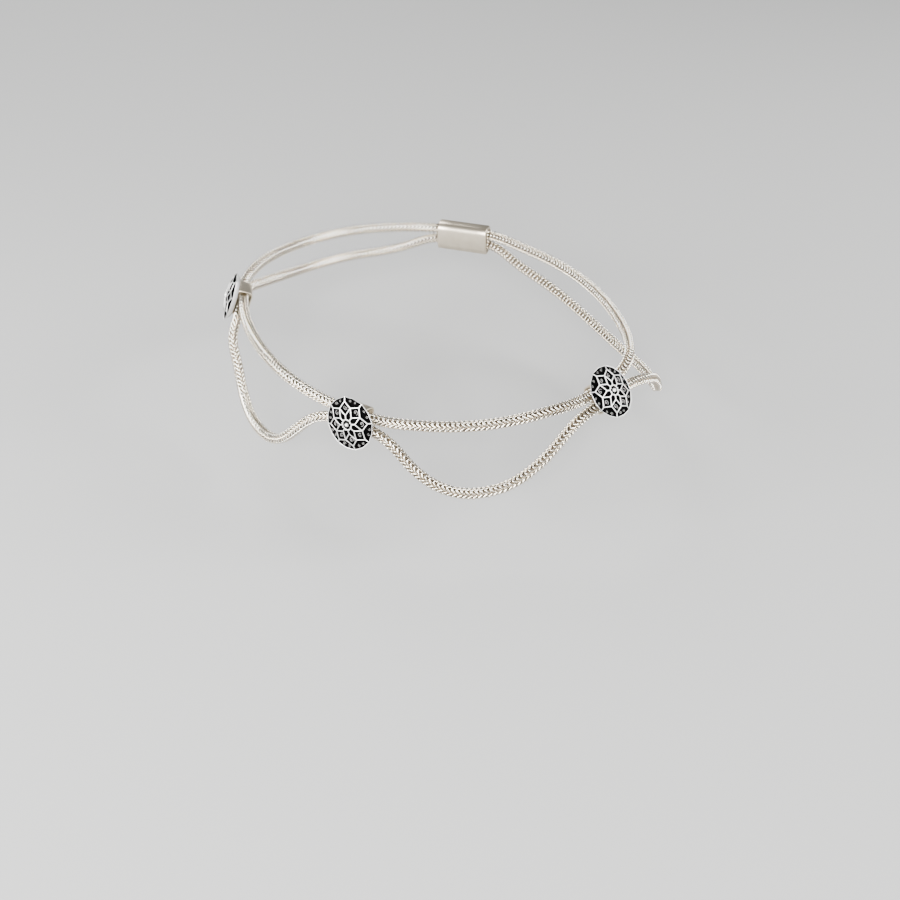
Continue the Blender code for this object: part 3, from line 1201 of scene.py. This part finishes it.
@dataclass
class PlainClasp:
    """The hidden clasp, one plain piece with a socket at each end."""

    loop: AnkleLoop
    fit: Fit
    corner: float = 0.9 * MM
    soft: float = 0.25 * MM
    face_raise: float = 0.9
    side_raise: float = 0.6

    def build(self) -> None:
        """Makes the clasp and dresses it."""
        body = bmesh.new()
        fit = self.fit
        half = fit.clasp_length / 2.0
        wall = fit.clasp_wall
        floor = half - fit.socket_depth
        soft = self.soft
        middle = EDGE_MIDDLE * soft
        mouth = (
            (floor, 0.0), (half - soft / 2.0, 0.0), (half, soft / 2.0), (half, wall - soft),
            (half - middle, wall - middle), (half - soft, wall), (half / 2.0, wall),
        )
        rows = [(-reach, grow) for reach, grow in mouth]
        rows += [(reach, grow) for reach, grow in reversed(mouth)]
        loops = []
        for reach, grow in rows:
            profile = rounded_rectangle(
                fit.channel_height + 2.0 * grow, fit.channel_depth + 2.0 * grow, self.corner + grow)
            loops.append([body.verts.new((reach, up, out)) for up, out in profile])
        tube(body, loops)
        mesh = mesh_of(body, "clasp_body", SHARP_BAND)
        face = fit.channel_depth / 2.0 + wall / 2.0
        mark_raise(mesh, lambda point: self.face_raise if abs(point.z) > face else self.side_raise)
        mesh.transform(self.loop.seat(Place.CLASP))
        dress(add_piece("clasp_body", mesh, BAND.material()), ("clasp",))


@dataclass
class Studio:
    """A pale floor, soft lights and the photo's viewpoint."""

    azimuth: float = -36.0
    elevation: float = 35.0
    distance: float = 250.0 * MM
    aside: float = -3.3 * MM
    above: float = 28.1 * MM
    lens: float = 47.5
    clip_start: float = 0.01
    floor_drop: float = 9.0 * MM
    floor_half: float = 3.0
    floor_colour: Colour = (0.37, 0.37, 0.365)
    floor_roughness: float = 0.8
    world_colour: Colour = (0.96, 0.98, 1.0)
    world_strength: float = 0.36
    lights: dict[str, tuple[Point, float, float]] = field(default_factory=lambda: {
        "key_softbox": ((-0.36, -0.42, 0.26), 0.24, 11.0),
        "left_softbox": ((-0.42, 0.06, 0.12), 0.22, 5.5),
        "right_softbox": ((0.46, -0.36, 0.30), 0.26, 7.5),
        "back_softbox": ((0.10, 0.60, 0.45), 0.30, 4.0),
    })

    def camera(self) -> None:
        """Adds the camera at the photo's angle."""
        turn, lift = math.radians(self.azimuth), math.radians(self.elevation)
        level = Vector((math.sin(turn), -math.cos(turn), 0.0))
        back = level * math.cos(lift) + UP * math.sin(lift)
        right = Vector((math.cos(turn), math.sin(turn), 0.0))
        up = back.cross(right)
        lens = bpy.data.cameras.new("photo_view")
        lens.lens = self.lens
        lens.clip_start = self.clip_start
        camera = bpy.data.objects.new("photo_view", lens)
        bpy.context.collection.objects.link(camera)
        matrix = Matrix((right, up, back)).transposed().to_4x4()
        matrix.translation = back * self.distance - right * self.aside - up * self.above
        camera.matrix_world = matrix
        bpy.context.scene.camera = camera

    def floor(self) -> None:
        """Adds the pale floor below the lowest point of the anklet."""
        level = CAD_BOX[0][2] - self.floor_drop
        half = self.floor_half
        mesh = bpy.data.meshes.new("floor")
        corners = [(-half, -half, level), (half, -half, level), (half, half, level), (-half, half, level)]
        mesh.from_pydata(corners, [], [(0, 1, 2, 3)])
        paint = bpy.data.materials.new("pale_floor")
        paint.use_nodes = True
        shader = paint.node_tree.nodes["Principled BSDF"]
        shader.inputs["Base Color"].default_value = (*self.floor_colour, 1.0)
        shader.inputs["Roughness"].default_value = self.floor_roughness
        floor = add_piece("floor", mesh, paint)

    def light(self) -> None:
        """Adds the softboxes and the even sky."""
        for name, (place, size, power) in self.lights.items():
            lamp = bpy.data.lights.new(name, "AREA")
            lamp.size = size
            lamp.energy = power
            box = bpy.data.objects.new(name, lamp)
            bpy.context.collection.objects.link(box)
            box.location = place
            box.rotation_euler = Vector(place).to_track_quat("Z", "Y").to_euler()
        world = bpy.data.worlds.new("studio")
        world.use_nodes = True
        sky = world.node_tree.nodes["Background"]
        sky.inputs["Color"].default_value = (*self.world_colour, 1.0)
        sky.inputs["Strength"].default_value = self.world_strength
        bpy.context.scene.world = world

    def build(self) -> None:
        """Sets the stage."""
        self.camera()
        self.floor()
        self.light()


def main() -> None:
    """Builds the anklet and its stage in order."""
    logging.basicConfig(level=logging.INFO, format="%(name)s %(message)s")
    loop = AnkleLoop()
    fit = Fit()
    Studio().build()
    for run in Run:
        WovenStrand(run, loop, fit).build()
    for place in (Place.LEFT, Place.CENTRE, Place.RIGHT):
        RosetteSlider(place, loop, fit).build()
    PlainClasp(loop, fit).build()


if __name__ == "__main__":
    main()
